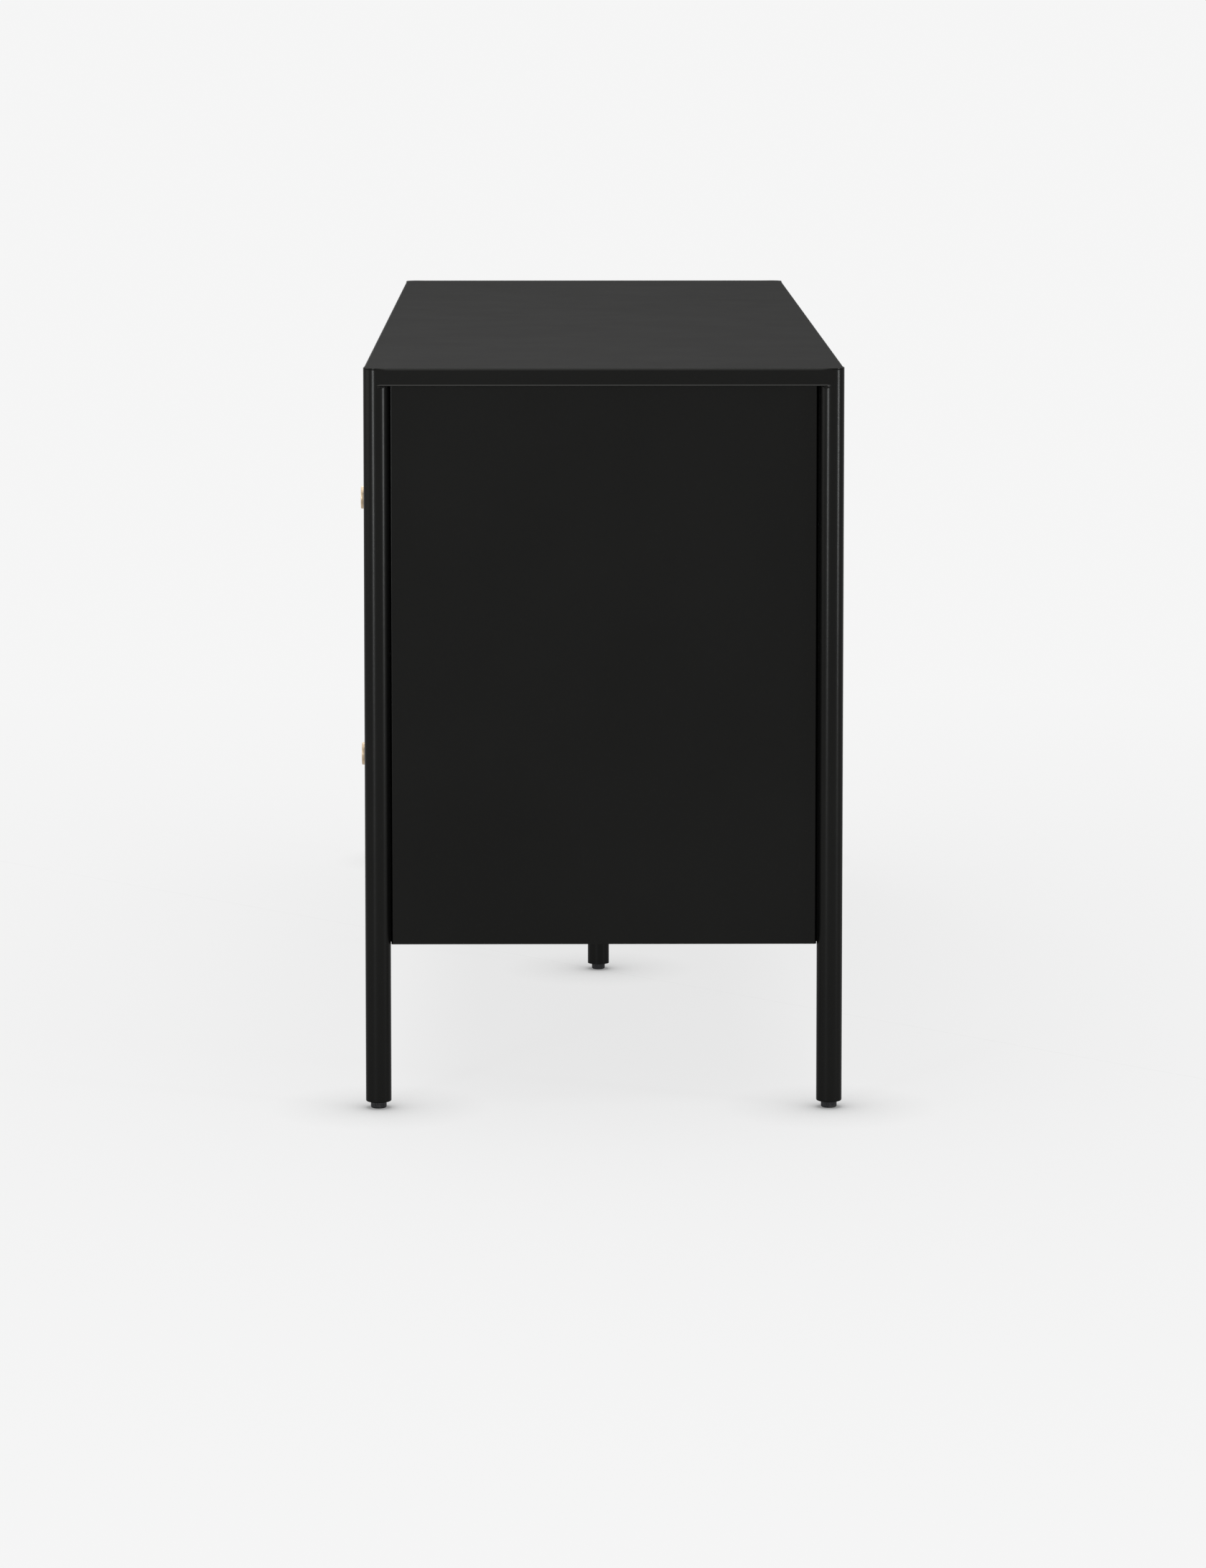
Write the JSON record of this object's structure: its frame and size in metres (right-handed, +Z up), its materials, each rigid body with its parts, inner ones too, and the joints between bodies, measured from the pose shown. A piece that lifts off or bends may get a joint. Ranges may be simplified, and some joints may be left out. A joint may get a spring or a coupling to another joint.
{
  "type": "dresser",
  "caption": "Long low steel dresser on slender round-tube legs, with rows of drawers on telescopic runners and small round metal knobs.",
  "frame": {"origin": "on the floor, at the bottom centre of the bounding box, which takes in the knobs", "axes": "+X along the length, to the right as seen from the front; +Z up; the drawers open towards -Y"},
  "size_m": [1.524, 0.4846, 0.738],
  "materials": {
    "black_paint": "satin black powder coat with a fine texture",
    "tray_paint": "matte black powder coat",
    "brass": "turned and lacquered, slightly darkened",
    "zinc_plate": "bright zinc plate",
    "foot_plastic": "moulded, matte"
  },
  "bodies": {
    "case": {"top_pan": "black_paint", "leg_front_left": "black_paint", "leg_front_right": "black_paint", "leg_rear_left": "black_paint", "leg_rear_right": "black_paint", "leg_centre": "black_paint", "end_panel_left": "black_paint", "end_panel_right": "black_paint", "back_panel": "black_paint", "bottom_pan": "black_paint", "bottom_stiffener": "black_paint", "partition_left": "black_paint", "partition_right": "black_paint", "runner_case_lower_left_left": "zinc_plate", "runner_case_lower_left_right": "zinc_plate", "runner_case_lower_middle_left": "zinc_plate", "runner_case_lower_middle_right": "zinc_plate", "runner_case_lower_right_left": "zinc_plate", "runner_case_lower_right_right": "zinc_plate", "runner_case_upper_left_left": "zinc_plate", "runner_case_upper_left_right": "zinc_plate", "runner_case_upper_middle_left": "zinc_plate", "runner_case_upper_middle_right": "zinc_plate", "runner_case_upper_right_left": "zinc_plate", "runner_case_upper_right_right": "zinc_plate"},
    "drawer_lower_left": {"drawer_front_lower_left": "black_paint", "drawer_tray_lower_left": "tray_paint", "knob_lower_left": "brass"},
    "runners_lower_left": {"runner_middle_lower_left_left": "zinc_plate", "runner_middle_lower_left_right": "zinc_plate"},
    "drawer_lower_middle": {"drawer_front_lower_middle": "black_paint", "drawer_tray_lower_middle": "tray_paint", "knob_lower_middle": "brass"},
    "runners_lower_middle": {"runner_middle_lower_middle_left": "zinc_plate", "runner_middle_lower_middle_right": "zinc_plate"},
    "drawer_lower_right": {"drawer_front_lower_right": "black_paint", "drawer_tray_lower_right": "tray_paint", "knob_lower_right": "brass"},
    "runners_lower_right": {"runner_middle_lower_right_left": "zinc_plate", "runner_middle_lower_right_right": "zinc_plate"},
    "drawer_upper_left": {"drawer_front_upper_left": "black_paint", "drawer_tray_upper_left": "tray_paint", "knob_upper_left": "brass"},
    "runners_upper_left": {"runner_middle_upper_left_left": "zinc_plate", "runner_middle_upper_left_right": "zinc_plate"},
    "drawer_upper_middle": {"drawer_front_upper_middle": "black_paint", "drawer_tray_upper_middle": "tray_paint", "knob_upper_middle": "brass"},
    "runners_upper_middle": {"runner_middle_upper_middle_left": "zinc_plate", "runner_middle_upper_middle_right": "zinc_plate"},
    "drawer_upper_right": {"drawer_front_upper_right": "black_paint", "drawer_tray_upper_right": "tray_paint", "knob_upper_right": "brass"},
    "runners_upper_right": {"runner_middle_upper_right_left": "zinc_plate", "runner_middle_upper_right_right": "zinc_plate"},
    "foot_front_left": {"foot_front_left": "foot_plastic"},
    "foot_front_right": {"foot_front_right": "foot_plastic"},
    "foot_rear_left": {"foot_rear_left": "foot_plastic"},
    "foot_rear_right": {"foot_rear_right": "foot_plastic"},
    "foot_centre": {"foot_centre": "foot_plastic"}
  },
  "joints": [
    {"name": "drawer_lower_left_slide", "type": "slide", "parent": "case", "child": "drawer_lower_left", "axis": [0, -1, 0], "range_m": [0, 0.38]},
    {"name": "runners_lower_left_slide", "type": "slide", "parent": "case", "child": "runners_lower_left", "axis": [0, -1, 0], "range_m": [0, 0.19]},
    {"name": "drawer_lower_middle_slide", "type": "slide", "parent": "case", "child": "drawer_lower_middle", "axis": [0, -1, 0], "range_m": [0, 0.38]},
    {"name": "runners_lower_middle_slide", "type": "slide", "parent": "case", "child": "runners_lower_middle", "axis": [0, -1, 0], "range_m": [0, 0.19]},
    {"name": "drawer_lower_right_slide", "type": "slide", "parent": "case", "child": "drawer_lower_right", "axis": [0, -1, 0], "range_m": [0, 0.38]},
    {"name": "runners_lower_right_slide", "type": "slide", "parent": "case", "child": "runners_lower_right", "axis": [0, -1, 0], "range_m": [0, 0.19]},
    {"name": "drawer_upper_left_slide", "type": "slide", "parent": "case", "child": "drawer_upper_left", "axis": [0, -1, 0], "range_m": [0, 0.38]},
    {"name": "runners_upper_left_slide", "type": "slide", "parent": "case", "child": "runners_upper_left", "axis": [0, -1, 0], "range_m": [0, 0.19]},
    {"name": "drawer_upper_middle_slide", "type": "slide", "parent": "case", "child": "drawer_upper_middle", "axis": [0, -1, 0], "range_m": [0, 0.38]},
    {"name": "runners_upper_middle_slide", "type": "slide", "parent": "case", "child": "runners_upper_middle", "axis": [0, -1, 0], "range_m": [0, 0.19]},
    {"name": "drawer_upper_right_slide", "type": "slide", "parent": "case", "child": "drawer_upper_right", "axis": [0, -1, 0], "range_m": [0, 0.38]},
    {"name": "runners_upper_right_slide", "type": "slide", "parent": "case", "child": "runners_upper_right", "axis": [0, -1, 0], "range_m": [0, 0.19]},
    {"name": "foot_front_left_screw", "type": "slide", "parent": "case", "child": "foot_front_left", "axis": [0, 0, -1], "range_m": [0, 0.008]},
    {"name": "foot_front_right_screw", "type": "slide", "parent": "case", "child": "foot_front_right", "axis": [0, 0, -1], "range_m": [0, 0.008]},
    {"name": "foot_rear_left_screw", "type": "slide", "parent": "case", "child": "foot_rear_left", "axis": [0, 0, -1], "range_m": [0, 0.008]},
    {"name": "foot_rear_right_screw", "type": "slide", "parent": "case", "child": "foot_rear_right", "axis": [0, 0, -1], "range_m": [0, 0.008]},
    {"name": "foot_centre_screw", "type": "slide", "parent": "case", "child": "foot_centre", "axis": [0, 0, -1], "range_m": [0, 0.008]}
  ],
  "couplings": [
    {"joint": "runners_lower_left_slide", "follows": "drawer_lower_left_slide", "ratio": 0.5},
    {"joint": "runners_lower_middle_slide", "follows": "drawer_lower_middle_slide", "ratio": 0.5},
    {"joint": "runners_lower_right_slide", "follows": "drawer_lower_right_slide", "ratio": 0.5},
    {"joint": "runners_upper_left_slide", "follows": "drawer_upper_left_slide", "ratio": 0.5},
    {"joint": "runners_upper_middle_slide", "follows": "drawer_upper_middle_slide", "ratio": 0.5},
    {"joint": "runners_upper_right_slide", "follows": "drawer_upper_right_slide", "ratio": 0.5}
  ]
}
